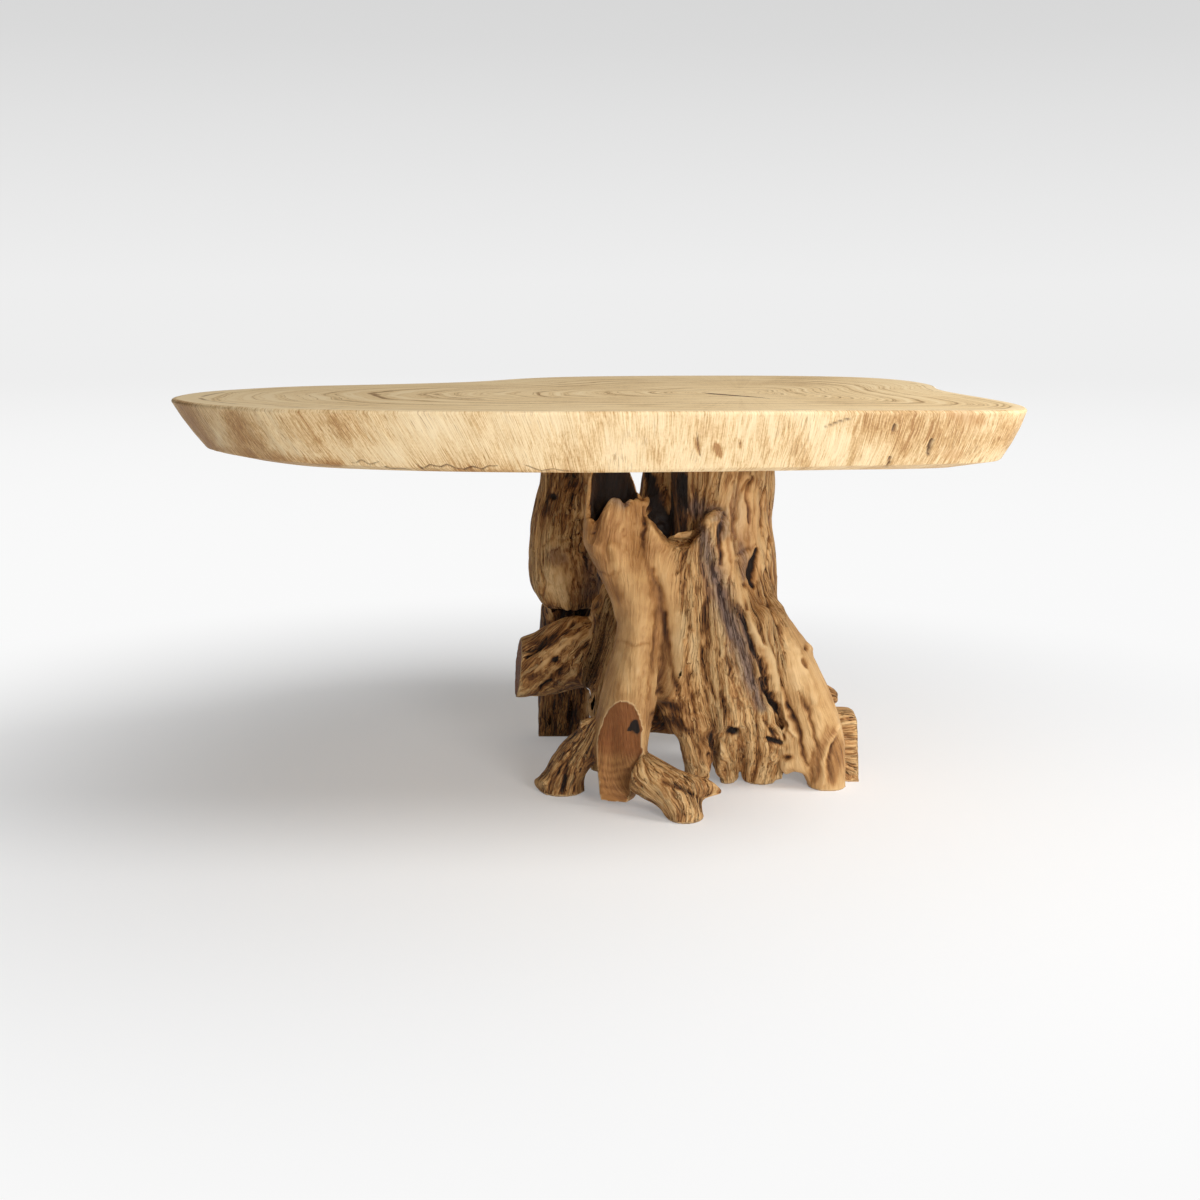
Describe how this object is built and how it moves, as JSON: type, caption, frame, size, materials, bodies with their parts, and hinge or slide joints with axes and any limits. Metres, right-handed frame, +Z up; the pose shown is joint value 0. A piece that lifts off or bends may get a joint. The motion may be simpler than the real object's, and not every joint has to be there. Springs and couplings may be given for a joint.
{
  "type": "live edge dining table",
  "caption": "Dining table with a thick natural-edge slab, flared towards the top, on a base of weathered hollow roots sawn flat at the floor and doweled together",
  "frame": {"origin": "on the floor, under the middle of the slab's bounding box", "axes": "+X along the slab's length, -Y towards the front where the pale hollow root stands, +Z up"},
  "size_m": [1.52, 1.09, 0.76],
  "materials": {
    "slab": "pale blond wood with a light satin oil",
    "root_pale": "sanded pale root wood, dry",
    "root_brown": "weathered brown root wood with dark furrows",
    "root_dark": "dark weathered root wood",
    "dowel": "plain turned hardwood",
    "steel": "zinc-plated steel"
  },
  "bodies": {
    "root": {"slab_top": "slab", "stump": "root_brown", "front_root": "root_pale", "front_foot": "root_brown", "front_strut": "root_dark", "left_post": "root_brown", "left_limb": "root_brown", "rear_left_leg": "root_dark", "right_root": "root_pale", "rear_root": "root_dark", "rear_right_block": "root_pale", "dowel_front_foot": "dowel", "dowel_front_root_lower": "dowel", "dowel_front_root_upper": "dowel", "dowel_front_strut": "dowel", "dowel_left_limb_back": "dowel", "dowel_left_limb_front": "dowel", "dowel_left_post": "dowel", "dowel_rear_block": "dowel", "dowel_rear_left_leg": "dowel", "dowel_rear_root_lower": "dowel", "dowel_rear_root_upper": "dowel", "dowel_right_root_lower": "dowel", "dowel_right_root_upper": "dowel", "fastener_left": "steel", "fastener_middle": "steel", "fastener_rear": "steel", "fastener_right": "steel", "root_screw_left": "steel", "root_screw_middle": "steel", "root_screw_rear": "steel", "root_screw_right": "steel", "slab_screw_left": "steel", "slab_screw_middle": "steel", "slab_screw_rear": "steel", "slab_screw_right": "steel"}
  },
  "joints": []
}
